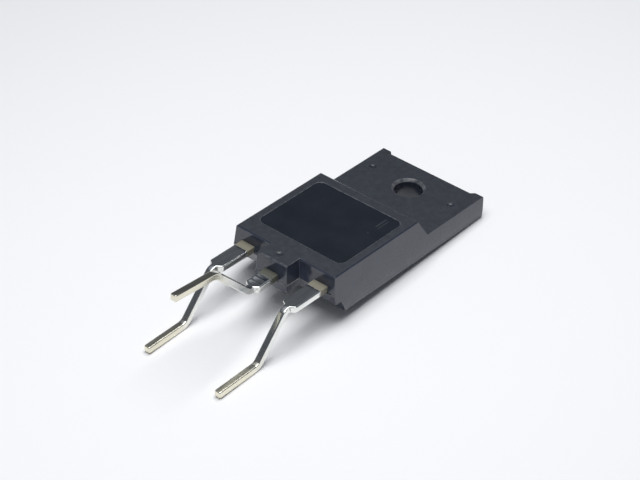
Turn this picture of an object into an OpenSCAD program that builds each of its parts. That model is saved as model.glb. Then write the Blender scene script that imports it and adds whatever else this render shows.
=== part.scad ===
// Power transistor in a fully moulded flat case with a screw tab and three formed leads.
// Lengths are in millimetres. +Z leaves the marked face, +Y runs from the lead end to the tab,
// and the origin is the middle of the screw hole on the flat back.

/* [Case] */
// Width of the case at its widest, along X
case_width = 15.5; // [14.5:0.1:16.5]
// Height of the marked block above the flat back
case_height = 5.5; // [5:0.1:6]
// Length from the lead end of the block to the recessed edge of the tab
case_length = 26.45; // [25.5:0.05:27.5]
// Length of the marked face of the block
block_length = 14.75; // [14:0.05:15.2]
// Where the slope behind the block meets the tab, from the lead end
slope_foot = 16.4; // [16:0.05:17]
// Thickness of the screw tab
tab_thickness = 3; // [2.6:0.1:3.4]
// How much narrower the case is on each side at the top than at its widest
side_draft = 0.42; // [0.2:0.01:0.6]
// Height of the widest line round the sides
side_line_height = 1.3; // [0.8:0.1:1.8]
// Small bevel on the outer edges of the case
edge_bevel = 0.12; // [0.05:0.01:0.2]

/* [Screw tab] */
// Distance from the lead end to the screw hole's middle
hole_from_lead_end = 22.3; // [21.5:0.05:22.5]
// Diameter of the screw hole
hole_diameter = 3.4; // [3.2:0.05:3.8]
// Width of the bevel round the hole's upper mouth
hole_bevel = 0.32; // [0.1:0.01:0.4]
// How far the two corner ears stand beyond the recessed edge
ear_length = 0.7; // [0.4:0.05:1]
// Width of each corner ear
ear_width = 1.75; // [1.25:0.05:2.25]

/* [Lead end] */
// Height at which the lower half of the lead end steps back
step_height = 1.9; // [1.6:0.1:2.2]
// How far the lower half steps back at that height
step_depth = 1; // [0.6:0.1:1.4]
// How far back the lower half's foot lies
step_foot = 2; // [1.6:0.1:2.4]
// Width of the middle tongue that carries the centre lead
tongue_width = 4.7; // [4:0.1:5.2]
// How far the tongue stands out of the lead end
tongue_length = 2.1; // [1.6:0.05:2.4]

/* [Marking panel] */
// Width of the matt border left on each side of the sunk panel
panel_border = 1.5; // [1.2:0.05:2]
// Distance from the lead end to the panel
panel_start = 2.45; // [2:0.05:3]
// Length of the sunk panel
panel_length = 10.9; // [10:0.05:11.3]
// Corner radius of the panel
panel_radius = 0.9; // [0.5:0.05:1.4]
// Depth of the panel
panel_depth = 0.1; // [0.05:0.01:0.15]

/* [Leads] */
// Moulding left between an outer lead's broad part and the side of the case
lead_side_cover = 1.3; // [1:0.05:1.8]
// Thickness of the lead strip
lead_thickness = 0.85; // [0.7:0.05:1.1]
// Height of the leads' underside above the flat back where they leave the case
lead_height = 3.05; // [2.8:0.05:3.4]
// Width of the broad part of each lead
lead_wide = 2; // [1.8:0.05:2.2]
// Width of the narrow part of each lead
lead_narrow = 0.87; // [0.65:0.01:0.95]
// Length of the taper from broad to narrow
lead_taper = 0.4; // [0.2:0.05:0.8]
// Broad length of an outer lead outside the case
outer_wide_length = 5.15; // [4:0.05:6]
// Downward bend of an outer lead
outer_bend_angle = 50; // [30:1:70]
// Length of the sloping part of an outer lead
outer_slope_length = 5.75; // [4:0.05:8]
// Slope left in the end part of an outer lead, below level
outer_end_angle = 2; // [0:0.5:6]
// End length of the lead on the right, with the leads pointing at the reader
emitter_end_length = 5.8; // [4:0.05:7]
// End length of the lead on the left
base_end_length = 5.45; // [4:0.05:7]
// Distance from the lead end to the end of the centre lead's broad part
centre_wide_reach = 5.15; // [4:0.05:5.5]
// How far the centre lead's broad part dips below level outside the case
centre_fall_angle = 2; // [0:0.5:10]
// Upward bend of the centre lead
centre_bend_angle = 44.5; // [30:0.5:60]
// Length of the sloping part of the centre lead
centre_slope_length = 6; // [5:0.05:8]
// Slope left in the end part of the centre lead, above level
centre_end_angle = 3.5; // [0:0.5:10]
// End length of the centre lead
centre_end_length = 5.75; // [5:0.05:8]

/* [Inside] */
// Thickness of the moulding under the copper header
back_insulation = 0.85; // [0.6:0.05:1]
// Thickness of the copper header
header_thickness = 1.5; // [1.2:0.05:1.8]
// Moulding left between the header and the side of the case
header_side_cover = 1.55; // [1.3:0.05:2.2]
// Distance from the lead end to the header
header_start = 3.4; // [3:0.05:4]
// Length of the copper header
header_length = 13.6; // [12:0.1:14]
// Side of the square silicon die
die_size = 6.4; // [4:0.1:8]
// Thickness of the silicon die
die_thickness = 0.34; // [0.2:0.01:0.5]
// Thickness of the solder under the die
solder_thickness = 0.06; // [0.03:0.01:0.1]
// Distance from the lead end to the die's middle
die_from_lead_end = 9.6; // [8.5:0.1:11]
// Diameter of each emitter wire
emitter_wire_diameter = 0.4; // [0.25:0.05:0.5]
// Diameter of the base wire
base_wire_diameter = 0.25; // [0.15:0.05:0.4]
// Distance from the lead end to the inner edge of the outer leads' pads
pad_end = 3.1; // [2.6:0.05:3.6]

/* [Hidden] */
half_width = case_width / 2;
lead_pitch = half_width - lead_side_cover - lead_wide / 2;
header_width = case_width - 2 * header_side_cover;
panel_width = case_width - 2 * panel_border;
ear_inner_x = half_width - ear_width;
far_end = case_length + ear_length;
back_draft = 0.15;
front_draft = 0.13;
tongue_side_draft = 0.2;
far_draft = 0.15;
mould_offset = 0.1;
corner_bevel = 0.3;
tongue_root = step_depth / 2;
cut_height = 1;
lead_top = lead_height + lead_thickness;
panel_floor = case_height - panel_depth;
ejector_mark_diameter = 0.9;
ejector_mark_depth = 0.06;
back_mark_diameter = 1.6;
tab_mark_inset = 1.85;
tab_mark_x = half_width - tab_mark_inset;
tab_mark_offset = 0.5;
tab_mark_y = hole_from_lead_end + tab_mark_offset;
tongue_mark_y = -0.75;
back_mark_setback = 3;
back_mark_y = step_foot + back_mark_setback;
tip_taper_length = 0.2;
tip_taper = 0.09;
tip_width = lead_narrow - 2 * tip_taper;
outer_top_radius = 0.6;
outer_foot_radius = 0.8;
centre_fall_radius = 0.3;
centre_bend_radius = 0.8;
centre_top_radius = 1.6;
centre_root_length = tongue_length + 2 * mould_offset;
header_top = back_insulation + header_thickness;
header_clip = 0.8;
header_overlap = 0.3;
die_bottom = header_top + solder_thickness;
die_top = die_bottom + die_thickness;
// The centre strip climbs from the header to the lead height through two equal and opposite bends.
joggle_angle = 50;
joggle_radius = 0.4;
joggle_mean_radius = joggle_radius + lead_thickness / 2;
joggle_rise = lead_top - header_top;
joggle_slope = (joggle_rise - 2 * joggle_mean_radius * (1 - cos(joggle_angle))) / sin(joggle_angle);
joggle_reach = 2 * joggle_mean_radius * sin(joggle_angle) + joggle_slope * cos(joggle_angle);
pad_inner_reach = 0.95;
pad_inner_x = lead_pitch - lead_wide / 2 - pad_inner_reach;
pad_outer_x = lead_pitch + lead_wide / 2;
pad_mid_x = (pad_inner_x + pad_outer_x) / 2;
pad_bond_setback = 0.9;
pad_mid_y = pad_end - pad_bond_setback;
pad_neck_y = 1;
wire_spacing = 1.2;
bond_foot_length = 0.9;
wire_lift = 0.08;
wire_joint_ratio = 1.25;
wire_joint_cut = 0.3;
wire_loop_rise = 0.5;
wire_loop_height = lead_top + wire_loop_rise;
bend_facet_angle = 5;
pad_neck_slope = 0.4;
$fn = 48;

// Everything below is drawn with Y measured from the lead end, then moved to the screw hole.
module from_lead_end() {
    translate([0, -hole_from_lead_end, 0]) children();
}

// The underside of a bent strip as points [y, z, heading]. Each step is [length, bend angle, inside radius];
// a positive angle bends the strip up.
function strip_points(steps, y, z, heading, number = 0) =
    number == len(steps) ? [[y, z, heading]] :
    let (
        length = steps[number][0],
        angle = steps[number][1],
        radius = steps[number][2],
        start_y = y + length * cos(heading),
        start_z = z + length * sin(heading),
        turn_radius = angle > 0 ? radius + lead_thickness : -radius,
        centre_y = start_y - turn_radius * sin(heading),
        centre_z = start_z + turn_radius * cos(heading),
        parts = ceil(abs(angle) / bend_facet_angle),
        turned = [
            for (part = [1 : max(parts - 1, 0)])
                if (parts > 1)
                    let (now = heading + angle * part / parts)
                    [centre_y + turn_radius * sin(now), centre_z - turn_radius * cos(now), now]
        ],
        end_heading = heading + angle,
        end_y = centre_y + turn_radius * sin(end_heading),
        end_z = centre_z - turn_radius * cos(end_heading)
    )
    concat([[y, z, heading], [start_y, start_z, heading]], turned,
           strip_points(steps, end_y, end_z, end_heading, number + 1));

// One side of a lead's outline from above: broad, tapered, narrow and tapered again at the tip.
function lead_plan_half(side, from_y, wide_end, tip_y, backward = false) =
    let (half = [
        [side * lead_wide / 2, from_y],
        [side * lead_wide / 2, wide_end],
        [side * lead_narrow / 2, wide_end + lead_taper],
        [side * lead_narrow / 2, tip_y - tip_taper_length],
        [side * tip_width / 2, tip_y + lead_thickness],
    ])
    backward ? [for (number = [4 : -1 : 0]) half[number]] : half;

// The side view of a bent strip: its underside out to the tip and its top back again.
module strip_profile(points) {
    last = len(points) - 1;
    polygon(concat(
        [for (point = points) [point[0], point[1]]],
        [for (number = [last : -1 : 0])
            [points[number][0] - lead_thickness * sin(points[number][2]),
             points[number][1] + lead_thickness * cos(points[number][2])]]
    ));
}

// A prism of a profile drawn in X and Z, running along Y.
module along_y(from_y, to_y) {
    translate([0, to_y, 0]) rotate([90, 0, 0]) linear_extrude(to_y - from_y) children();
}

// A prism of a profile drawn in Y and Z, running along X across the case.
module along_x(half_span) {
    translate([-half_span, 0, 0]) rotate([90, 0, 90]) linear_extrude(2 * half_span) children();
}

// The case's outline across its width: widest at the side line, drawn in at the top and the back.
module width_profile() {
    polygon([
        [-half_width + back_draft + edge_bevel, 0],
        [-half_width + back_draft, edge_bevel],
        [-half_width, side_line_height],
        [-half_width + side_draft, case_height - edge_bevel],
        [-half_width + side_draft + edge_bevel, case_height],
        [half_width - side_draft - edge_bevel, case_height],
        [half_width - side_draft, case_height - edge_bevel],
        [half_width, side_line_height],
        [half_width - back_draft, edge_bevel],
        [half_width - back_draft - edge_bevel, 0],
    ]);
}

// The case's outline along its length: stepped lead end, block, slope and tab.
module length_profile() {
    polygon([
        [step_foot, 0],
        [step_depth, step_height],
        [mould_offset, step_height],
        [-mould_offset, lead_height],
        [0, lead_height],
        [front_draft, case_height - edge_bevel],
        [front_draft + edge_bevel, case_height],
        [block_length - edge_bevel, case_height],
        [block_length + edge_bevel / 2, case_height - edge_bevel],
        [slope_foot, tab_thickness],
        [far_end - far_draft - edge_bevel, tab_thickness],
        [far_end - far_draft, tab_thickness - edge_bevel],
        [far_end, side_line_height],
        [far_end - edge_bevel / 2, edge_bevel],
        [far_end - edge_bevel, 0],
    ]);
}

// The case's outline from above, with the two ears at the far corners.
module plan_outline() {
    polygon([
        [-half_width, corner_bevel - mould_offset],
        [-half_width + corner_bevel, -mould_offset],
        [half_width - corner_bevel, -mould_offset],
        [half_width, corner_bevel - mould_offset],
        [half_width, far_end - corner_bevel],
        [half_width - corner_bevel, far_end],
        [ear_inner_x + ear_length, far_end],
        [ear_inner_x, case_length],
        [-ear_inner_x, case_length],
        [-ear_inner_x - ear_length, far_end],
        [-half_width + corner_bevel, far_end],
        [-half_width, far_end - corner_bevel],
    ]);
}

// The tongue in front of the block, drafted both ways from the leads' underside.
module tongue() {
    half_tongue = tongue_width / 2;
    intersection() {
        along_y(-tongue_length - cut_height, tongue_root)
            polygon([
                [-half_tongue + mould_offset, step_height],
                [-half_tongue - mould_offset, lead_height],
                [-half_tongue, lead_height],
                [-half_tongue + tongue_side_draft, case_height],
                [half_tongue - tongue_side_draft, case_height],
                [half_tongue, lead_height],
                [half_tongue + mould_offset, lead_height],
                [half_tongue - mould_offset, step_height],
            ]);
        along_x(half_tongue + cut_height)
            polygon([
                [-tongue_length + mould_offset, step_height],
                [-tongue_length - mould_offset, lead_height],
                [-tongue_length, lead_height],
                [-tongue_length + front_draft, case_height - edge_bevel],
                [-tongue_length + front_draft + edge_bevel, case_height],
                [tongue_root, case_height],
                [tongue_root, step_height],
            ]);
    }
}

// The rounded plate whose bottom is the sunk panel's floor.
module panel_cut() {
    inner_x = panel_width / 2 - panel_radius;
    near_y = panel_start + panel_radius;
    far_y = panel_start + panel_length - panel_radius;
    translate([0, 0, panel_floor]) {
        translate([-panel_width / 2, near_y, 0]) cube([panel_width, far_y - near_y, cut_height]);
        translate([-inner_x, panel_start, 0]) cube([2 * inner_x, panel_length, cut_height]);
        for (corner_x = [-inner_x, inner_x], corner_y = [near_y, far_y])
            translate([corner_x, corner_y, 0]) cylinder(h = cut_height, r = panel_radius);
    }
}

// The screw hole with the bevel at its upper mouth.
module screw_hole() {
    translate([0, hole_from_lead_end, -cut_height]) cylinder(h = tab_thickness + 2 * cut_height, d = hole_diameter);
    translate([0, hole_from_lead_end, tab_thickness - hole_bevel])
        cylinder(h = 2 * hole_bevel, r1 = hole_diameter / 2, r2 = hole_diameter / 2 + 2 * hole_bevel);
}

// Shallow round marks left by the mould's ejector pins: two on the tab, one on the tongue, two on the back.
module ejector_marks() {
    for (side = [-1, 1]) {
        translate([side * tab_mark_x, tab_mark_y, tab_thickness - ejector_mark_depth])
            cylinder(h = cut_height, d = ejector_mark_diameter);
        translate([side * tab_mark_x, back_mark_y, -cut_height])
            cylinder(h = cut_height + ejector_mark_depth, d = back_mark_diameter);
    }
    translate([0, tongue_mark_y, case_height - ejector_mark_depth])
        cylinder(h = cut_height, d = ejector_mark_diameter);
}

// The strip of the centre lead, drawn outward from inside the header to its tip.
module centre_strip() {
    points = strip_points([
        [header_overlap, joggle_angle, joggle_radius],
        [joggle_slope, -joggle_angle, joggle_radius],
        [header_start - joggle_reach + centre_root_length, -centre_fall_angle, centre_fall_radius],
        [centre_wide_reach - centre_root_length + lead_taper, centre_fall_angle + centre_bend_angle, centre_bend_radius],
        [centre_slope_length, centre_end_angle - centre_bend_angle, centre_top_radius],
        [centre_end_length, 0, 0],
    ], -header_start - header_overlap, header_top - lead_thickness, 0);
    tip_y = points[len(points) - 1][0];
    mirror([0, 1, 0]) intersection() {
        along_x(lead_wide) strip_profile(points);
        linear_extrude(far_end)
            polygon(concat(
                lead_plan_half(1, -header_start - 2 * header_overlap, centre_wide_reach, tip_y),
                lead_plan_half(-1, -header_start - 2 * header_overlap, centre_wide_reach, tip_y, true)
            ));
    }
}

// The copper header that carries the die.
module header_plate() {
    half_header = header_width / 2;
    translate([0, 0, back_insulation]) linear_extrude(header_thickness)
        polygon([
            [-half_header + header_clip, header_start],
            [half_header - header_clip, header_start],
            [half_header, header_start + header_clip],
            [half_header, header_start + header_length - header_clip],
            [half_header - header_clip, header_start + header_length],
            [-half_header + header_clip, header_start + header_length],
            [-half_header, header_start + header_length - header_clip],
            [-half_header, header_start + header_clip],
        ]);
}

module collector_shape() {
    header_plate();
    centre_strip();
}

// An outer lead on the right, drawn outward from the pad inside the case that takes the wires.
module outer_lead_shape(end_length) {
    points = strip_points([
        [pad_end + outer_wide_length + lead_taper, -outer_bend_angle, outer_top_radius],
        [outer_slope_length, outer_bend_angle - outer_end_angle, outer_foot_radius],
        [end_length, 0, 0],
    ], -pad_end, lead_height, 0);
    tip_y = points[len(points) - 1][0];
    pad_width = pad_outer_x - pad_inner_x;
    translate([lead_pitch, 0, 0]) mirror([0, 1, 0]) intersection() {
        along_x(pad_width) strip_profile(points);
        translate([0, 0, -far_end]) linear_extrude(2 * far_end)
            polygon(concat(
                lead_plan_half(1, -pad_end - cut_height, outer_wide_length, tip_y),
                lead_plan_half(-1, -pad_neck_y, outer_wide_length, tip_y, true),
                [
                    [lead_wide / 2 - pad_width, -pad_neck_y - pad_neck_slope],
                    [lead_wide / 2 - pad_width, -pad_end - cut_height],
                ]
            ));
    }
}

module solder_shape() {
    translate([-die_size / 2, die_from_lead_end - die_size / 2, header_top])
        cube([die_size, die_size, solder_thickness]);
}

module die_shape() {
    translate([-die_size / 2, die_from_lead_end - die_size / 2, die_bottom])
        cube([die_size, die_size, die_thickness]);
}

// A round rod between two points, cut short at each end so that only the round joint fills the corner.
module rod(start, finish, diameter, cut_start, cut_finish) {
    run = finish - start;
    reach = norm(run);
    translate(start) rotate([0, acos(run[2] / reach), atan2(run[1], run[0])])
        translate([0, 0, cut_start]) cylinder(h = reach - cut_start - cut_finish, d = diameter);
}

// A bond wire from the die to a pad: a flattened foot at each end and a loop of three straight runs.
module bond_wire(die_x, die_y, pad_x, pad_y, diameter) {
    run = [pad_x - die_x, pad_y - die_y];
    foot_height = diameter + wire_lift;
    points = [
        [die_x, die_y, die_top + foot_height / 2],
        [die_x + 0.3 * run[0], die_y + 0.3 * run[1], wire_loop_height],
        [die_x + 0.7 * run[0], die_y + 0.7 * run[1], wire_loop_height],
        [pad_x, pad_y, lead_top + foot_height / 2],
    ];
    joint_cut = wire_joint_cut * diameter;
    rod(points[0], points[1], diameter, 0, joint_cut);
    rod(points[1], points[2], diameter, joint_cut, joint_cut);
    rod(points[2], points[3], diameter, joint_cut, 0);
    for (number = [1 : 2]) translate(points[number]) sphere(d = wire_joint_ratio * diameter);
    for (foot = [[die_x, die_y, die_top], [pad_x, pad_y, lead_top]])
        translate(foot) rotate([0, 0, atan2(run[1], run[0])])
            translate([-bond_foot_length / 2, -0.8 * diameter, 0])
                cube([bond_foot_length, 1.6 * diameter, foot_height]);
}

module base_wire_shape() {
    bond_wire(-0.4 * die_size, die_from_lead_end - 0.34 * die_size, -pad_mid_x, pad_mid_y, base_wire_diameter);
}

module emitter_wire_inner_shape() {
    bond_wire(0.16 * die_size, die_from_lead_end - 0.18 * die_size, pad_mid_x - wire_spacing / 2, pad_mid_y,
              emitter_wire_diameter);
}

module emitter_wire_outer_shape() {
    bond_wire(0.34 * die_size, die_from_lead_end - 0.1 * die_size, pad_mid_x + wire_spacing / 2, pad_mid_y,
              emitter_wire_diameter);
}

// The moulding, with every inner piece cut out of it face to face.
module moulded_case() {
    color([0.13, 0.14, 0.15]) from_lead_end() difference() {
        union() {
            intersection() {
                along_y(-cut_height, far_end + cut_height) width_profile();
                along_x(half_width + cut_height) length_profile();
                translate([0, 0, -cut_height]) linear_extrude(case_height + 2 * cut_height) plan_outline();
            }
            tongue();
        }
        screw_hole();
        panel_cut();
        ejector_marks();
        collector_shape();
        outer_lead_shape(emitter_end_length);
        mirror([1, 0, 0]) outer_lead_shape(base_end_length);
        solder_shape();
        die_shape();
        base_wire_shape();
        emitter_wire_inner_shape();
        emitter_wire_outer_shape();
    }
}

module collector_frame() {
    color([0.72, 0.7, 0.66]) from_lead_end() collector_shape();
}

module base_lead() {
    color([0.72, 0.7, 0.66]) from_lead_end() mirror([1, 0, 0]) outer_lead_shape(base_end_length);
}

module emitter_lead() {
    color([0.72, 0.7, 0.66]) from_lead_end() outer_lead_shape(emitter_end_length);
}

module die_solder() {
    color([0.6, 0.6, 0.62]) from_lead_end() solder_shape();
}

module silicon_die() {
    color([0.3, 0.32, 0.38]) from_lead_end() die_shape();
}

module base_wire() {
    color([0.85, 0.85, 0.86]) from_lead_end() base_wire_shape();
}

module emitter_wire_inner() {
    color([0.85, 0.85, 0.86]) from_lead_end() emitter_wire_inner_shape();
}

module emitter_wire_outer() {
    color([0.85, 0.85, 0.86]) from_lead_end() emitter_wire_outer_shape();
}

moulded_case();
collector_frame();
base_lead();
emitter_lead();
die_solder();
silicon_die();
base_wire();
emitter_wire_inner();
emitter_wire_outer();
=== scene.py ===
import math

import bpy
from bpy.props import FloatProperty, FloatVectorProperty, PointerProperty
from bpy.types import Operator, Panel, PropertyGroup
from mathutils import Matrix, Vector


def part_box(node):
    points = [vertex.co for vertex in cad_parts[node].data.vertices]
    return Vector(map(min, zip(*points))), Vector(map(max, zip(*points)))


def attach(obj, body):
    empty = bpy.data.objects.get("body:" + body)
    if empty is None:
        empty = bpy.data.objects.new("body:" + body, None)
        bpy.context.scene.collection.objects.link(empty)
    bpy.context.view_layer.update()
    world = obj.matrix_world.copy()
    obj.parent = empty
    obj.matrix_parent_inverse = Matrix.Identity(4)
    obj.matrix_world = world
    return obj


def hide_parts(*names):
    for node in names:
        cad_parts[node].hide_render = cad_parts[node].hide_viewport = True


bl_info = {
    "name": "Power transistor",
    "version": (1, 0, 0),
    "blender": (4, 5, 0),
    "location": "View3D > Sidebar > Transistor",
    "description": "Finishes a moulded power transistor and sets it on a lit floor",
    "category": "Object",
}

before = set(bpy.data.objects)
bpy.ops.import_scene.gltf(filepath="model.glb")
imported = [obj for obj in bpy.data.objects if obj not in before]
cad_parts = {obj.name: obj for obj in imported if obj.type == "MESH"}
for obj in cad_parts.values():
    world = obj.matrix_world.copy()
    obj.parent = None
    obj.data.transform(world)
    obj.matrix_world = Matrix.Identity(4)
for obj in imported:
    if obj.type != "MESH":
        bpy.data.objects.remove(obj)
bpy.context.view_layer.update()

# Lengths are in metres; the last three are tolerances
MM = 0.001
HAIR = 0.001 * MM
TOUCH = 0.01 * MM
NEAR = 0.02 * MM

# The case: its lead end, its tab and the pockets inside it
CASE_LOW, CASE_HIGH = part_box("moulded_case")
TONGUE_LENGTH = 2.2 * MM
TONGUE_END = CASE_LOW[1]
LEAD_END = TONGUE_END + TONGUE_LENGTH
MARKED_FACE = CASE_HIGH[2]
TAB_THICKNESS = 3 * MM
TAB_BEVEL = 0.12 * MM
BOTTOM_EDGE = CASE_HIGH[1] - TAB_BEVEL
HOLE_RADIUS = 1.7 * MM
HOLE_REACH = 1.3 * HOLE_RADIUS
POCKETS_LOW = (-7 * MM, LEAD_END - 0.15 * MM, 0.4 * MM)
POCKETS_HIGH = (7 * MM, -4 * MM, 5.2 * MM)

# The chamfers at the two lower corners of the lead end, and the close pair of points above each
CHAMFER_X = 7.4 * MM
CHAMFER_REACH = 0.2 * MM
CORNER_X = 7.5 * MM
CORNER_LOW = 3 * MM
CORNER_HIGH = 3.2 * MM
CORNER_GAP = 0.13 * MM

# The sunk marking panel and its wear
PANEL_DEPTH = 0.1 * MM
PANEL_BORDER = 1.5 * MM
PANEL_START = 2.45 * MM
PANEL_FLOOR = MARKED_FACE - PANEL_DEPTH
PANEL_WIDTH = CASE_HIGH[0] - CASE_LOW[0] - 2 * PANEL_BORDER
PANEL_LENGTH = 10.9 * MM
PANEL_MIDDLE = LEAD_END + PANEL_START + PANEL_LENGTH / 2
PANEL_RADIUS = 0.9 * MM
PANEL_REACH = 0.1 * MM
SCRATCHES = ((4.34 * MM, LEAD_END + 10.8 * MM, 1.0), (4.77 * MM, LEAD_END + 10.7 * MM, 0.6))
SCRATCH_LENGTH = 1.9 * MM
SCRATCH_WIDTH = 0.26 * MM
PANEL_SPOT = (4.42 * MM, LEAD_END + 9.3 * MM)
SPOT_RADIUS = 0.15 * MM

# The ejector marks
MARK_RADIUS = 0.45 * MM
BACK_MARK_RADIUS = 0.8 * MM
MARK_REACH = 0.06 * MM
DISH_RISE = (0.6 * MARK_RADIUS, 1.3 * MARK_RADIUS)
TONGUE_MARK = (0, LEAD_END - 0.75 * MM)
TAB_MARK_X = CASE_HIGH[0] - 1.85 * MM
TAB_MARK_Y = 0.5 * MM
BACK_MARK_Y = LEAD_END + 5 * MM
TOP_MARKS = (TONGUE_MARK, (-TAB_MARK_X, TAB_MARK_Y), (TAB_MARK_X, TAB_MARK_Y))
BACK_MARKS = ((-TAB_MARK_X, BACK_MARK_Y), (TAB_MARK_X, BACK_MARK_Y))

# The leads
LEAD_PITCH = 5.45 * MM
NARROW_WIDTH = 0.87 * MM
NARROW_REACH = 0.6 * NARROW_WIDTH
TIP_REACH = 0.05 * MM
MIDDLE_BARE_LENGTH = 1.0 * MM
BAND_BLUR = 0.03 * MM
BARE_METALLIC = 0.25
DIP_START = LEAD_END - 9 * MM
DIP_FULL = LEAD_END - 12 * MM
GROOVE_WIDTH = 0.6 * MM
GROOVE_REACH = 0.75 * MM
GROOVE_FLOOR = 0.8 * GROOVE_REACH
GROOVE_PITCH = 0.76 * MM
GROOVES = [LEAD_END - 3.55 * MM - number * GROOVE_PITCH for number in range(3)]

# How surfaces are told apart and shaded
SHARP = math.radians(25)
FLAT_TURN = math.radians(0.6)
SMOOTH_TURN = math.radians(40)
FLAT = 0.985
SLOPING = 0.2
ROUND_REACH = 0.12 * MM
RIM_REACH = 0.15 * MM
# The fourth finish is partly wear and partly painted highlight on rounded edges, ledges and the hole's mouth
MATT, SMOOTH, PANEL, WEAR_AND_HIGHLIGHT = range(4)

# The stage
FLOOR_SIZE = 1.6
FLOOR_CLEARANCE = 0.01 * MM
KEY_OFFSET = Vector((0.007, -0.028, 0.2))
WALL_RISE = (0.1, 0.22)
CEILING_RISE = (0.72, 0.86)
CAMERA_PLACE = Vector((129.5, -173.64, 150.55)) * MM
CAMERA_ANGLES = (54.241, -1.879, 40.77)
CAMERA_LENS = 124.5
CAMERA_SENSOR = 36


class MouldingFinish(PropertyGroup):
    """The epoxy case."""

    colour: FloatVectorProperty(
        name="Colour", description="Colour of the matt moulding", subtype="COLOR", size=3,
        min=0, max=1, default=(0.025, 0.029, 0.038))
    # The smooth sides' own colour, lifted lighter and bluer than the matt top as painted reflection of the
    # paper
    smooth_and_sheen_colour: FloatVectorProperty(
        name="Smooth colour", description="Colour of the smooth sides of the moulding", subtype="COLOR",
        size=3, min=0, max=1, default=(0.028, 0.034, 0.052))
    # Light specks painted as tiny glints on the smooth sides
    glint_speck_colour: FloatVectorProperty(
        name="Speck colour", description="Colour of the light specks on the smooth sides", subtype="COLOR",
        size=3, min=0, max=1, default=(0.3, 0.3, 0.33))
    panel_colour: FloatVectorProperty(
        name="Panel colour", description="Colour of the sunk marking panel", subtype="COLOR", size=3,
        min=0, max=1, default=(0.012, 0.016, 0.023))
    scratch_colour: FloatVectorProperty(
        name="Scratch colour", description="Colour of the scratches and the spot on the panel",
        subtype="COLOR", size=3, min=0, max=1, default=(0.042, 0.047, 0.055))
    # Paler colour of the rounded edges, ledges and the hole's mouth: partly wear, partly painted highlight
    wear_and_highlight_colour: FloatVectorProperty(
        name="Worn colour", description="Colour of the rubbed edges and rims", subtype="COLOR",
        size=3, min=0, max=1, default=(0.12, 0.124, 0.132))
    roughness: FloatProperty(
        name="Roughness", description="Roughness of the matt moulding", min=0, max=1, default=0.5)
    panel_roughness: FloatProperty(
        name="Panel roughness", description="Roughness of the sunk panel", min=0, max=1, default=0.22)
    smooth_roughness: FloatProperty(
        name="Smooth roughness", description="Roughness of the smooth sides", min=0, max=1, default=0.14)
    edge_width: FloatProperty(
        name="Edge width", description="Width of the rounding on the case's edges", subtype="DISTANCE",
        unit="LENGTH", min=0, max=0.001, default=0.045 * MM)
    rim_width: FloatProperty(
        name="Rim width", description="Width of the rounding round the sunk panel", subtype="DISTANCE",
        unit="LENGTH", min=0, max=0.001, default=0.08 * MM)
    mark_edge_width: FloatProperty(
        name="Mark edge width", description="Width of the rounding round the ejector marks",
        subtype="DISTANCE", unit="LENGTH", min=0, max=0.001, default=0.02 * MM)


class LeadFinish(PropertyGroup):
    """The tinned copper leads."""

    tin_colour: FloatVectorProperty(
        name="Tin colour", description="Colour of the tin plating", subtype="COLOR", size=3,
        min=0, max=1, default=(0.84, 0.85, 0.82))
    dipped_colour: FloatVectorProperty(
        name="Dipped colour", description="Colour of the solder on the dipped ends", subtype="COLOR", size=3,
        min=0, max=1, default=(0.8, 0.765, 0.63))
    bare_colour: FloatVectorProperty(
        name="Bare colour", description="Colour of the bare copper alloy beside the case", subtype="COLOR",
        size=3, min=0, max=1, default=(0.25, 0.235, 0.18))
    # Bare copper on the middle lead, darkened as painted shade from the case's tongue over it
    shaded_middle_bare_colour: FloatVectorProperty(
        name="Middle bare colour", description="Colour of the bare band on the middle lead",
        subtype="COLOR", size=3, min=0, max=1, default=(0.1, 0.103, 0.082))
    roughness: FloatProperty(
        name="Roughness", description="Roughness of the tin plating", min=0, max=1, default=0.14)
    end_roughness: FloatProperty(
        name="End roughness", description="Roughness of the dipped ends", min=0, max=1, default=0.25)
    bare_roughness: FloatProperty(
        name="Bare roughness", description="Roughness of the bare band", min=0, max=1, default=0.5)
    edge_width: FloatProperty(
        name="Edge width", description="Width of the rounding on the edges of the outer leads",
        subtype="DISTANCE", unit="LENGTH", min=0, max=0.001, default=0.17 * MM)
    middle_edge_width: FloatProperty(
        name="Middle edge width", description="Width of the rounding on the edges of the middle lead",
        subtype="DISTANCE", unit="LENGTH", min=0, max=0.001, default=0.14 * MM)
    bare_length: FloatProperty(
        name="Bare length", description="Length of the bare band beside the case", subtype="DISTANCE",
        unit="LENGTH", min=0, max=0.01, default=1.15 * MM)
    groove_depth: FloatProperty(
        name="Groove depth", description="Depth of the grooves coined across the middle lead",
        subtype="DISTANCE", unit="LENGTH", min=0, max=0.001, default=0.13 * MM)


class StageFinish(PropertyGroup):
    """The floor and the light."""

    floor_colour: FloatVectorProperty(
        name="Floor colour", description="Colour of the paper floor", subtype="COLOR", size=3,
        min=0, max=1, default=(0.93, 0.93, 0.935))
    horizon_colour: FloatVectorProperty(
        name="Horizon colour", description="Colour of the room just above the floor", subtype="COLOR",
        size=3, min=0, max=1, default=(0.78, 0.81, 0.86))
    wall_colour: FloatVectorProperty(
        name="Wall colour", description="Colour of the room's walls", subtype="COLOR", size=3,
        min=0, max=1, default=(0.083, 0.09, 0.105))
    ceiling_colour: FloatVectorProperty(
        name="Ceiling colour", description="Colour of the room's ceiling", subtype="COLOR", size=3,
        min=0, max=1, default=(0.28, 0.3, 0.345))
    key_power: FloatProperty(
        name="Key power", description="Power of the lamp", subtype="POWER", unit="POWER",
        min=0, max=10, default=0.425)
    key_width: FloatProperty(
        name="Key width", description="Width of the lamp", subtype="DISTANCE", unit="LENGTH",
        min=0.01, max=1, default=0.125)
    key_length: FloatProperty(
        name="Key length", description="Length of the lamp, along the part", subtype="DISTANCE",
        unit="LENGTH", min=0.01, max=1, default=0.21)


# Shader maths

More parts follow.
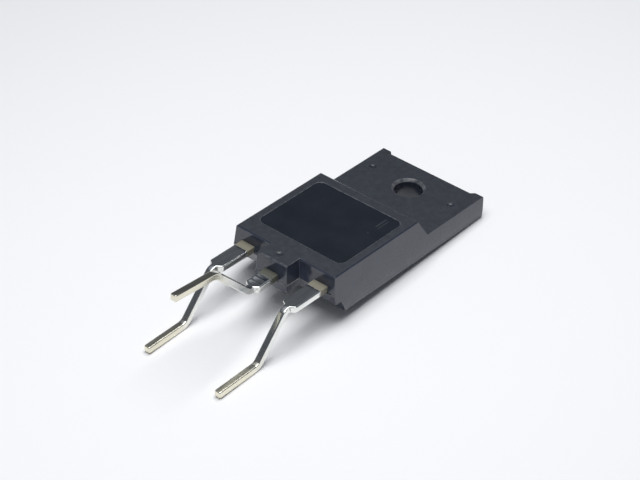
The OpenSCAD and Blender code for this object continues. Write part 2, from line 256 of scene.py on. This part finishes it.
class Socket:
    """A node's output, with the arithmetic that adds Math nodes."""

    def __init__(self, nodes, output):
        self.nodes = nodes
        self.output = output

    def maths(self, operation, first, second=0.0):
        return self.nodes.add("ShaderNodeMath", {"operation": operation}, {0: first, 1: second})

    def root(self):
        return self.maths("SQRT", self)

    def size(self):
        return self.maths("ABSOLUTE", self)

    def least(self, other):
        return self.maths("MINIMUM", self, other)

    def most(self, other):
        return self.maths("MAXIMUM", self, other)

    def __add__(self, other):
        return self.maths("ADD", self, other)

    __radd__ = __add__

    def __sub__(self, other):
        return self.maths("SUBTRACT", self, other)

    def __rsub__(self, other):
        return self.maths("SUBTRACT", other, self)

    def __mul__(self, other):
        return self.maths("MULTIPLY", self, other)

    def __gt__(self, other):
        return self.maths("GREATER_THAN", self, other)

    def __lt__(self, other):
        return self.maths("LESS_THAN", self, other)


def mixed(first, second, share):
    """Two values added up, the first with a share of the whole and the second with the rest."""
    return first * share + second * (1 - share)


def opaque(colour):
    return (*colour, 1)


class Nodes:
    """A tree of shader nodes, all added by one method."""

    def __init__(self, tree):
        self.tree = tree

    def add(self, kind, settings, inputs, output=0):
        """Adds a node: its settings first, then the values or links of its sockets."""
        node = self.tree.nodes.new(kind)
        for name, value in settings.items():
            setattr(node, name, value)
        for name, value in inputs.items():
            self.feed(node.inputs[name], value)
        return Socket(self, node.outputs[output])

    def feed(self, socket, value):
        if isinstance(value, Socket):
            self.tree.links.new(value.output, socket)
        else:
            socket.default_value = value

    def ramp(self, value, low, high, start=0.0, end=1.0):
        """A number that runs from start to end while value runs from low to high."""
        return self.add("ShaderNodeMapRange", {"clamp": True}, {
            "Value": value, "From Min": low, "From Max": high, "To Min": start, "To Max": end})

    def blend(self, factor, first, second):
        """A colour between two others."""
        return self.add("ShaderNodeMix", {"data_type": "RGBA"}, {0: factor, 6: first, 7: second}, 2)


class Finish(Nodes):
    """A material on the object's own coordinates."""

    def __init__(self, name):
        self.material = bpy.data.materials.new(name)
        self.material.use_nodes = True
        super().__init__(self.material.node_tree)
        self.shader = self.tree.nodes["Principled BSDF"]
        self.place = self.add("ShaderNodeTexCoord", {}, {}, "Object")

    def set(self, **inputs):
        """Sets the shader's own sockets; an underscore stands for a space."""
        for name, value in inputs.items():
            self.feed(self.shader.inputs[name.replace("_", " ")], value)

    def axis(self, name):
        return self.add("ShaderNodeSeparateXYZ", {}, {0: self.place}, name)

    def stretched(self, scale):
        """The object's coordinates, stretched along each axis."""
        return self.add("ShaderNodeMapping", {}, {"Vector": self.place, "Scale": scale})

    def noise(self, scale, detail, roughness, place=None):
        return self.add("ShaderNodeTexNoise", {}, {
            "Vector": place or self.place, "Scale": scale, "Detail": detail, "Roughness": roughness}, "Fac")

    def spread(self, noise, start=0.0, end=1.0):
        """A number that runs from start to end over the usual values of a noise."""
        return self.ramp(noise, 0.3, 0.7, start, end)

    def shades(self, factor, colour, dark, light):
        """A colour that runs from a darker share of itself to a lighter one."""
        base = Vector(colour)
        return self.blend(factor, opaque(base * dark), opaque(base * light))

    def distance_to(self, x, y):
        """How far a point lies from an upright axis."""
        across = self.axis("X") - x
        along = self.axis("Y") - y
        return (across * across + along * along).root()

    def stroke(self, x, y, length, width):
        """1 on a thin line along Y that starts at a point."""
        along = self.axis("Y")
        across = self.ramp((self.axis("X") - x).size(), 0.1 * width, 0.5 * width, 1.0, 0.0)
        return across * (along > y) * (along < y + length)

    def specks(self, cells, size):
        """1 on sparse specks, one at most in each of so many cells to the metre."""
        spots = self.add("ShaderNodeTexVoronoi", {}, {"Vector": self.place, "Scale": cells}, "Distance")
        return spots < size * cells

    def bump(self, height, distance, strength, under=None):
        """A rough surface, on top of another where one is given."""
        inputs = {"Height": height, "Distance": distance, "Strength": strength}
        if under is not None:
            inputs["Normal"] = under
        return self.add("ShaderNodeBump", {}, inputs)


# Finishes

def dished(finish, marks):
    """The height of shallow dishes, one at each ejector mark: 0 on the flat middle and 1 outside."""
    nearest = finish.distance_to(*marks[0])
    for mark in marks[1:]:
        nearest = nearest.least(finish.distance_to(*mark))
    return finish.ramp(nearest, *DISH_RISE)


def matt_moulding(settings):
    """Matt filled epoxy with a faint mottle, a fine grain and dished ejector marks."""
    finish = Finish("matt_moulding")
    mottle = finish.noise(scale=1500, detail=3, roughness=0.7)
    grain = finish.noise(scale=9000, detail=2, roughness=0.6)
    speckle = finish.ramp(mixed(mottle, grain, 0.6), 0.35, 0.65)
    dish = dished(finish, TOP_MARKS)
    grained = finish.bump(mixed(grain, mottle, 0.7), distance=0.02 * MM, strength=0.5)
    finish.set(
        Base_Color=finish.shades(speckle, settings.colour, dark=0.68, light=1.36),
        Roughness=finish.ramp(dish, 0.3, 1.0, settings.panel_roughness, settings.roughness),
        Normal=finish.bump(dish, distance=0.08 * MM, strength=1.0, under=grained),
    )
    return finish.material


def smooth_moulding(settings):
    """The smooth, glossy sides that the steel mould left, lifted lighter and bluer than the matt top as
    painted reflection of the paper, with a few light specks painted as tiny glints.
    """
    finish = Finish("smooth_moulding")
    cloud = finish.noise(scale=500, detail=3, roughness=0.6)
    # The lifted colour is painted reflection of the paper on the upright faces
    clouded = finish.shades(finish.spread(cloud), settings.smooth_and_sheen_colour, dark=0.88, light=1.14)
    # Painted glints: light specks on the smooth sides
    specks = finish.specks(cells=420, size=0.055 * MM)
    roughness = settings.smooth_roughness
    finish.set(
        Base_Color=finish.blend(specks, clouded, opaque(settings.glint_speck_colour)),
        Roughness=finish.spread(cloud, start=roughness - 0.03, end=roughness + 0.04),
        Normal=finish.bump(cloud, distance=0.03 * MM, strength=0.3),
        IOR=1.62,
    )
    return finish.material


def wear_and_highlight_moulding(settings):
    """Paler edges of the lead end, the panel's rim and the hole's mouth: partly rubbed wear, partly painted
    highlight where these rounded edges and ledges catch the lamp.
    """
    finish = Finish("wear_and_highlight_moulding")
    wear = finish.ramp(finish.noise(scale=1600, detail=2, roughness=0.6), 0.35, 0.6)
    # The matt colour made half again lighter, as painted highlight on these edges
    highlit_unworn_colour = Vector(settings.colour) * 1.5
    finish.set(
        Base_Color=finish.blend(wear, opaque(highlit_unworn_colour), opaque(settings.wear_and_highlight_colour)),
        Roughness=0.35,
    )
    return finish.material


def panel_moulding(settings):
    """The smooth, dark floor of the marking panel, with two short scratches and a spot."""
    finish = Finish("panel_moulding")
    cloud = finish.noise(scale=350, detail=2, roughness=0.5)
    clouded = finish.shades(finish.spread(cloud), settings.panel_colour, dark=0.9, light=1.12)
    worn = finish.ramp(finish.distance_to(*PANEL_SPOT), SPOT_RADIUS / 3, SPOT_RADIUS, start=0.7, end=0.0)
    for x, y, strength in SCRATCHES:
        worn = worn.most(finish.stroke(x, y, SCRATCH_LENGTH, SCRATCH_WIDTH) * strength)
    roughness = settings.panel_roughness
    finish.set(
        Base_Color=finish.blend(worn, clouded, opaque(settings.scratch_colour)),
        Roughness=finish.spread(cloud, start=roughness - 0.03, end=roughness + 0.03),
    )
    return finish.material


def tinned_copper(settings, name, root, bare_length, bare_colour, end_roughness):
    """Tin plating, smooth on the broad part and duller on the dipped end, with a bare band at the root."""
    finish = Finish(name)
    streaks = finish.noise(scale=700, detail=3, roughness=0.6, place=finish.stretched((3.0, 0.5, 3.0)))
    fine = finish.noise(scale=4500, detail=2, roughness=0.6)
    streaked = finish.spread(streaks)
    along = finish.axis("Y")
    dipped = finish.ramp(along, DIP_FULL, DIP_START, start=1.0, end=0.0)
    plated = finish.blend(
        dipped,
        finish.shades(streaked, settings.tin_colour, dark=0.9, light=1.03),
        finish.shades(streaked, settings.dipped_colour, dark=0.88, light=1.05))
    edge = along + finish.spread(fine, start=-BAND_BLUR, end=BAND_BLUR)
    band_end = root - bare_length
    bare = finish.ramp(edge, band_end - BAND_BLUR, band_end + BAND_BLUR)
    shine = settings.roughness + dipped * (end_roughness - settings.roughness)
    worn = shine + finish.spread(streaks, start=-0.03, end=0.05)
    # On the middle lead the bare band's colour also carries painted shade from the case's tongue
    finish.set(
        Base_Color=finish.blend(bare, plated, opaque(bare_colour)),
        Roughness=worn + bare * (settings.bare_roughness - settings.roughness),
        Metallic=1 - bare * (1 - BARE_METALLIC),
        Normal=finish.bump(mixed(fine, streaks, 0.15), distance=0.006 * MM, strength=0.4),
    )
    return finish.material


def plain_finish(name, colour, roughness, metallic):
    """A finish for the pieces inside the case."""
    finish = Finish(name)
    finish.set(Base_Color=opaque(colour), Roughness=roughness, Metallic=metallic)
    return finish.material


def paper(settings):
    """The white paper that the part lies on."""
    finish = Finish("paper")
    finish.set(Base_Color=opaque(settings.floor_colour), Roughness=0.9, Specular_IOR_Level=0.0)
    return finish.material


# Modelling by hand

def deselect():
    bpy.ops.object.select_all(action="DESELECT")


def make_active(piece):
    deselect()
    piece.select_set(True)
    bpy.context.view_layer.objects.active = piece


def select_nothing(piece, kind):
    """Makes a piece the active one, set to be edited by vertex, edge or face, with nothing selected in it."""
    make_active(piece)
    bpy.ops.object.mode_set(mode="EDIT")
    bpy.ops.mesh.select_mode(type=kind)
    bpy.ops.mesh.select_all(action="DESELECT")
    bpy.ops.object.mode_set(mode="OBJECT")


def copy_of(node, name):
    """A free copy of a CAD node, with its doubles merged and its flat faces joined up."""
    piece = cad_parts[node].copy()
    piece.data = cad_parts[node].data.copy()
    piece.parent = None
    piece.name = name
    piece.data.name = name
    bpy.context.collection.objects.link(piece)
    make_active(piece)
    bpy.ops.object.mode_set(mode="EDIT")
    bpy.ops.mesh.select_all(action="SELECT")
    bpy.ops.mesh.remove_doubles(threshold=2 * HAIR)
    bpy.ops.mesh.dissolve_limited(angle_limit=FLAT_TURN)
    bpy.ops.object.mode_set(mode="OBJECT")
    return piece


def merge_near(piece, distance, choose):
    """Merges the vertices that choose accepts where they lie closer than a distance."""
    select_nothing(piece, "VERT")
    for vertex in piece.data.vertices:
        vertex.select = choose(vertex.co)
    bpy.ops.object.mode_set(mode="EDIT")
    bpy.ops.mesh.remove_doubles(threshold=distance)
    bpy.ops.object.mode_set(mode="OBJECT")


def turns(mesh):
    """How far the surface turns at each edge, by the edge's two vertices."""
    normals = {}
    for face in mesh.polygons:
        for key in face.edge_keys:
            normals.setdefault(key, []).append(face.normal)
    return {key: pair[0].angle(pair[1]) for key, pair in normals.items() if len(pair) == 2}


def round_edges(piece, width, segments, choose, clamp=False):
    """Rounds the sharp edges whose two ends choose accepts."""
    select_nothing(piece, "EDGE")
    mesh = piece.data
    turned = turns(mesh)
    for edge in mesh.edges:
        ends = [mesh.vertices[number].co for number in edge.vertices]
        edge.select = turned.get(edge.key, 0) > SHARP and choose(*ends)
    bpy.ops.object.mode_set(mode="EDIT")
    bpy.ops.mesh.bevel(offset=width, segments=segments, affect="EDGES", clamp_overlap=clamp)
    bpy.ops.object.mode_set(mode="OBJECT")


def cut_across(piece, point, normal, choose):
    """Cuts the faces whose centre and normal choose accepts along a plane."""
    select_nothing(piece, "FACE")
    for face in piece.data.polygons:
        face.select = choose(face.center, face.normal)
    bpy.ops.object.mode_set(mode="EDIT")
    bpy.ops.mesh.bisect(plane_co=point, plane_no=normal, threshold=HAIR)
    bpy.ops.object.mode_set(mode="OBJECT")


def finish_faces(piece, materials, choose):
    """Gives each face the material whose number choose returns for its centre and normal."""
    piece.data.materials.clear()
    for material in materials:
        piece.data.materials.append(material)
    for face in piece.data.polygons:
        face.material_index = choose(face.center, face.normal)


def smooth(piece):
    """Merges what cuts and rounding left double, then shades the piece smoothly and keeps flat faces flat."""
    merge_near(piece, HAIR, lambda point: True)
    bpy.ops.object.shade_smooth_by_angle(angle=SMOOTH_TURN)
    normals = piece.modifiers.new("flat faces", "WEIGHTED_NORMAL")
    normals.keep_sharp = True
    triangles = piece.modifiers.new("triangles", "TRIANGULATE")
    triangles.ngon_method = "BEAUTY"
    triangles.keep_custom_normals = True
    for name in ("flat faces", "triangles"):
        bpy.ops.object.modifier_apply(modifier=name)


def hand_over(piece, node):
    """Lets a finished piece stand for a CAD node."""
    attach(piece, "root")
    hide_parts(node)


# Places on the case

def panel_distance(point):
    """How far a point lies outside the panel's outline; inside it the number is negative."""
    across = abs(point.x) - (PANEL_WIDTH / 2 - PANEL_RADIUS)
    along = abs(point.y - PANEL_MIDDLE) - (PANEL_LENGTH / 2 - PANEL_RADIUS)
    return math.hypot(max(across, 0), max(along, 0)) - PANEL_RADIUS


def in_mark(point):
    marks = [(mark, BACK_MARK_RADIUS) for mark in BACK_MARKS] + [(mark, MARK_RADIUS) for mark in TOP_MARKS]
    return any(math.hypot(point.x - x, point.y - y) < radius + MARK_REACH for (x, y), radius in marks)


def inside_case(point):
    """Whether a point lies on the pockets that the leads and the header fill."""
    return all(low < place < high for low, place, high in zip(POCKETS_LOW, point, POCKETS_HIGH))


def at_corner(point):
    """Whether a point is one of the close pair above the chamfer at either side of the lead end."""
    at_lead_end = abs(point.y - LEAD_END) < NEAR
    return abs(point.x) > CORNER_X and at_lead_end and CORNER_LOW < point.z < CORNER_HIGH


def on_chamfer(point):
    return abs(point.x) > CHAMFER_X and point.y < LEAD_END + CHAMFER_REACH and point.z < CORNER_HIGH


def on_mark(first, second):
    return in_mark(first) and in_mark(second) and not inside_case(first)


def on_rim(first, second):
    """Whether an edge is part of the panel's outline on the marked face."""
    return all(abs(panel_distance(end)) < NEAR and end.z > MARKED_FACE - TOUCH for end in (first, second))


def on_outside(first, second):
    """Whether an edge shows on the case and isn't rounded already or left sharp."""
    ends = (first, second)
    on_floor = all(abs(end.z - PANEL_FLOOR) < TOUCH and panel_distance(end) < PANEL_REACH for end in ends)
    rounded = all(panel_distance(end) < RIM_REACH and end.z > PANEL_FLOOR for end in ends)
    hidden = all(inside_case(end) for end in ends)
    chamfered = all(on_chamfer(end) for end in ends)
    return not (on_floor or rounded or hidden or chamfered or on_mark(first, second))


def case_finish(centre, normal):
    """Which finish a face of the case has, by its centre and normal."""
    sloping = SLOPING < normal.z < FLAT
    at_top = centre.z > MARKED_FACE - ROUND_REACH
    ledge = normal.z > SLOPING and not at_top
    at_lead_end = centre.y < LEAD_END + ROUND_REACH and (sloping and at_top or ledge)
    at_rim = sloping and at_top and abs(panel_distance(centre)) < RIM_REACH
    by_hole = math.hypot(centre.x, centre.y) < HOLE_REACH
    at_hole = sloping and by_hole and centre.z > TAB_THICKNESS / 2
    # Rounded edges, ledges and the hole's mouth take the paler finish: partly wear, partly painted highlight
    if at_lead_end or at_rim or at_hole:
        return WEAR_AND_HIGHLIGHT
    # Upright and sloping faces take the smooth finish, whose colour carries painted reflection
    if normal.z < FLAT:
        return SMOOTH
    on_panel = abs(centre.z - PANEL_FLOOR) < NEAR and panel_distance(centre) < 0
    return PANEL if on_panel else MATT


class DressCase(Operator):
    """Rounds the case's edges and gives it its finishes"""

    bl_idname = "transistor.dress_case"
    bl_label = "Dress the case"

    def execute(self, context):
        settings = context.scene.transistor_moulding
        piece = copy_of("moulded_case", "case")
        merge_near(piece, CORNER_GAP, at_corner)
        round_edges(piece, settings.mark_edge_width, segments=2, choose=on_mark, clamp=True)
        round_edges(piece, settings.rim_width, segments=4, choose=on_rim, clamp=True)
        round_edges(piece, settings.edge_width, segments=3, choose=on_outside)
        finishes = {
            MATT: matt_moulding(settings),
            SMOOTH: smooth_moulding(settings),
            PANEL: panel_moulding(settings),
            WEAR_AND_HIGHLIGHT: wear_and_highlight_moulding(settings),
        }
        finish_faces(piece, finishes.values(), case_finish)
        smooth(piece)
        hand_over(piece, "moulded_case")
        return {"FINISHED"}


class DressLeads(Operator):
    """Rounds the leads' punched edges, coins the middle lead and gives all three their plating"""

    bl_idname = "transistor.dress_leads"
    bl_label = "Dress the leads"

    def execute(self, context):
        settings = context.scene.transistor_leads
        plating = tinned_copper(
            settings, "outer_plating", LEAD_END, settings.bare_length, settings.bare_colour,
            settings.end_roughness)
        for node, name, middle in (
                ("base_lead", "left_lead", -LEAD_PITCH), ("emitter_lead", "right_lead", LEAD_PITCH)):
            lead = self.rounded_lead(node, name, middle, settings.edge_width)
            self.plate(lead, plating, node)
        # The middle lead's bare band is darkened as painted shade from the tongue
        plating = tinned_copper(
            settings, "middle_plating", TONGUE_END, MIDDLE_BARE_LENGTH, settings.shaded_middle_bare_colour,
            settings.roughness)
        lead = self.rounded_lead("collector_frame", "middle_lead", 0, settings.middle_edge_width)
        for groove in GROOVES:
            self.coin_groove(lead, groove, settings.groove_depth)
        self.plate(lead, plating, "collector_frame")
        return {"FINISHED"}

    def rounded_lead(self, node, name, middle, width):
        """A copy of a lead, rounded outside the case except where its narrow part starts."""
        lead = copy_of(node, name)
        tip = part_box(node)[0][1] + TIP_REACH

        def punched(first, second):
            upright = math.hypot(first.x - second.x, first.y - second.y) < TOUCH
            on_narrow_part = abs(first.x - middle) < NARROW_REACH
            at_tip = max(first.y, second.y) < tip
            inner_corner = upright and on_narrow_part and not at_tip
            return min(first.y, second.y) < LEAD_END and not inner_corner

        round_edges(lead, width, segments=4, choose=punched)
        return lead

    def coin_groove(self, lead, y, depth):
        """Presses a shallow groove across the top of a level lead."""

        def in_groove(centre, normal):
            return abs(centre.y - y) < GROOVE_WIDTH / 2 and normal.z > FLAT

        for place in (y - GROOVE_WIDTH / 2, y, y + GROOVE_WIDTH / 2):
            cut_across(lead, (0, place, 0), (0, 1, 0), lambda centre, normal: True)
        for place in (-GROOVE_REACH, -GROOVE_FLOOR, GROOVE_FLOOR, GROOVE_REACH):
            cut_across(lead, (place, 0, 0), (1, 0, 0), in_groove)
        select_nothing(lead, "VERT")
        ring = [vertex for vertex in lead.data.vertices if abs(vertex.co.y - y) < HAIR]
        top = max(vertex.co.z for vertex in ring)
        for vertex in ring:
            vertex.select = vertex.co.z > top - TOUCH and abs(vertex.co.x) < GROOVE_FLOOR + TOUCH
        bpy.ops.object.mode_set(mode="EDIT")
        bpy.ops.transform.translate(value=(0, 0, -depth))
        bpy.ops.object.mode_set(mode="OBJECT")

    def plate(self, lead, plating, node):
        finish_faces(lead, [plating], lambda centre, normal: 0)
        smooth(lead)
        hand_over(lead, node)


class DressInside(Operator):
    """Gives the die, its solder and the wires their finishes"""

    bl_idname = "transistor.dress_inside"
    bl_label = "Dress the inside"

    def execute(self, context):
        solder = plain_finish("solder", colour=(0.5, 0.5, 0.52), roughness=0.4, metallic=1.0)
        silicon = plain_finish("silicon", colour=(0.12, 0.13, 0.16), roughness=0.15, metallic=0.6)
        wire = plain_finish("aluminium_wire", colour=(0.85, 0.85, 0.86), roughness=0.25, metallic=1.0)
        for node, material in (
                ("die_solder", solder), ("silicon_die", silicon), ("base_wire", wire),
                ("emitter_wire_inner", wire), ("emitter_wire_outer", wire)):
            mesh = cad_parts[node].data
            mesh.materials.clear()
            mesh.materials.append(material)
        return {"FINISHED"}


class SetStage(Operator):
    """Adds the paper floor, the lamp, the room's colours and the camera"""

    bl_idname = "transistor.set_stage"
    bl_label = "Set the stage"

    def execute(self, context):
        settings = context.scene.transistor_stage
        self.add_floor(settings)
        self.add_lamp(settings)
        self.colour_room(context, settings)
        self.add_camera(context)
        context.scene.view_settings.view_transform = "Standard"
        return {"FINISHED"}

    def add_floor(self, settings):
        """The part rests on its outer leads and the far bottom edge of its case."""
        leads = [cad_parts[node].data for node in ("base_lead", "emitter_lead")]
        feet = [vertex.co for lead in leads for vertex in lead.vertices]
        tilt = max(math.atan2(-foot.z, BOTTOM_EDGE - foot.y) for foot in feet)
        pivot = (0, BOTTOM_EDGE, -FLOOR_CLEARANCE)
        deselect()
        bpy.ops.mesh.primitive_plane_add(size=FLOOR_SIZE, location=pivot)
        floor = bpy.context.object
        floor.name = "floor"
        bpy.ops.object.mode_set(mode="EDIT")
        bpy.ops.mesh.select_all(action="SELECT")
        bpy.ops.transform.rotate(value=-tilt, orient_axis="X", center_override=pivot)
        bpy.ops.object.mode_set(mode="OBJECT")
        bpy.ops.object.transform_apply(location=True, rotation=True, scale=True)
        floor.data.materials.append(paper(settings))

    def add_lamp(self, settings):
        """A large soft lamp over the case."""
        over = Vector((0, (CASE_LOW[1] + CASE_HIGH[1]) / 2, 0))
        deselect()
        bpy.ops.object.light_add(type="AREA", location=over + KEY_OFFSET)
        lamp = bpy.context.object
        lamp.name = "key"
        lamp.data.energy = settings.key_power
        lamp.data.shape = "RECTANGLE"
        lamp.data.size = settings.key_width
        lamp.data.size_y = settings.key_length

    def colour_room(self, context, settings):
        """A pale horizon, darker walls and a pale ceiling, by how far a direction points up."""
        world = bpy.data.worlds.new("room")
        world.use_nodes = True
        room = Nodes(world.node_tree)
        direction = room.add("ShaderNodeTexCoord", {}, {}, "Generated")
        height = room.add("ShaderNodeSeparateXYZ", {}, {0: direction}, "Z")
        wall = room.ramp(height, *WALL_RISE)
        ceiling = room.ramp(height, *CEILING_RISE)
        lower = room.blend(wall, opaque(settings.horizon_colour), opaque(settings.wall_colour))
        colour = room.blend(ceiling, lower, opaque(settings.ceiling_colour))
        room.feed(world.node_tree.nodes["Background"].inputs["Color"], colour)
        context.scene.world = world

    def add_camera(self, context):
        """The camera at the place from which the reference was taken."""
        turn = [math.radians(angle) for angle in CAMERA_ANGLES]
        deselect()
        bpy.ops.object.camera_add(location=CAMERA_PLACE, rotation=turn)
        camera = bpy.context.object
        camera.data.lens = CAMERA_LENS
        camera.data.sensor_width = CAMERA_SENSOR
        camera.data.clip_start = 1 * MM
        context.scene.camera = camera


class TransistorPanel(Panel):
    """Lists the transistor's steps and settings"""

    bl_idname = "VIEW3D_PT_transistor"
    bl_label = "Power transistor"
    bl_space_type = "VIEW_3D"
    bl_region_type = "UI"
    bl_category = "Transistor"

    def draw(self, context):
        for heading, group, steps in PANEL_ROWS:
            box = self.layout.box()
            box.label(text=heading)
            settings = getattr(context.scene, group)
            for name in settings.__annotations__:
                box.prop(settings, name)
            for step in steps:
                box.operator(step.bl_idname)


PANEL_ROWS = (
    ("Case", "transistor_moulding", (DressCase, DressInside)),
    ("Leads", "transistor_leads", (DressLeads,)),
    ("Stage", "transistor_stage", (SetStage,)),
)
GROUPS = {
    "transistor_moulding": MouldingFinish,
    "transistor_leads": LeadFinish,
    "transistor_stage": StageFinish,
}
CLASSES = (*GROUPS.values(), DressCase, DressLeads, DressInside, SetStage, TransistorPanel)


def register():
    for item in CLASSES:
        bpy.utils.register_class(item)
    for name, group in GROUPS.items():
        setattr(bpy.types.Scene, name, PointerProperty(type=group))


def unregister():
    for name in GROUPS:
        delattr(bpy.types.Scene, name)
    for item in reversed(CLASSES):
        bpy.utils.unregister_class(item)


def main():
    register()
    bpy.ops.transistor.dress_inside()
    bpy.ops.transistor.dress_case()
    bpy.ops.transistor.dress_leads()
    bpy.ops.transistor.set_stage()


if __name__ == "__main__":
    main()
